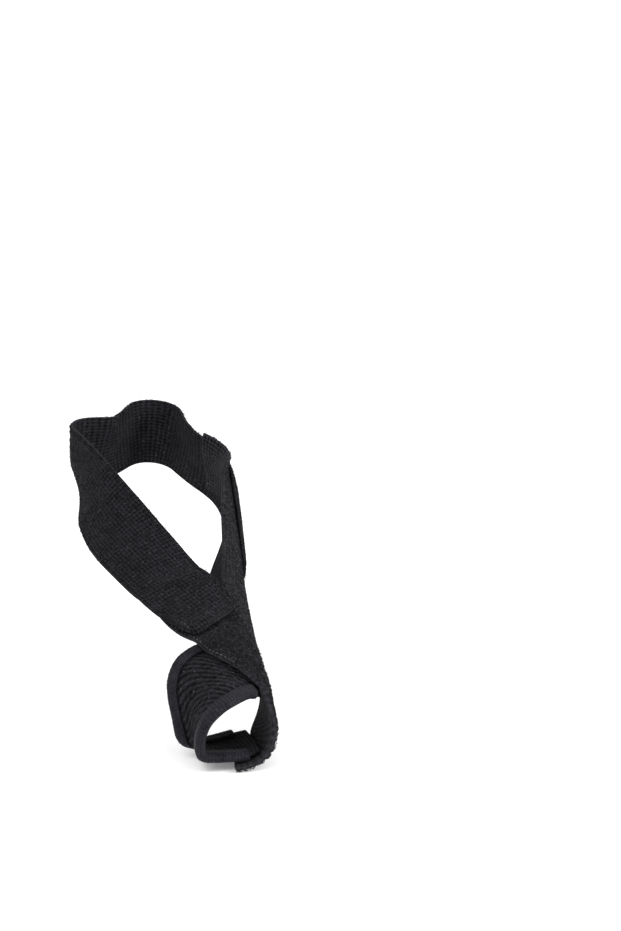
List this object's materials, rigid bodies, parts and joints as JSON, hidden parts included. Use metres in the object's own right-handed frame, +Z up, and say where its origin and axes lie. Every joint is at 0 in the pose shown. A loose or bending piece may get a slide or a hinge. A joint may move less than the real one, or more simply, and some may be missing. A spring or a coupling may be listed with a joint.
{
  "type": "bunion corrector",
  "caption": "Soft brace worn on a right foot: a ribbed toe wrap with bound edges and elastic straps that run round the ankle and back.",
  "frame": {"origin": "middle of the hollow of the toe loop, where the brace sits round the big toe", "axes": "+Z up, +X towards the side of the big toe, -Y towards the tip of the toe"},
  "size_m": [0.078, 0.2159, 0.0999],
  "materials": {
    "ribbed_knit": "matt ribbed knit",
    "binding_tape": "smooth knitted tape with a faint sheen",
    "loop_pile": "matt looped pile",
    "elastic": "matt woven elastic"
  },
  "bodies": {
    "root": {"toe_wrap": "ribbed_knit", "rear_binding": "binding_tape", "front_binding": "binding_tape", "side_band": "loop_pile", "toe_strap": "loop_pile", "ankle_strap": "elastic"}
  },
  "joints": []
}
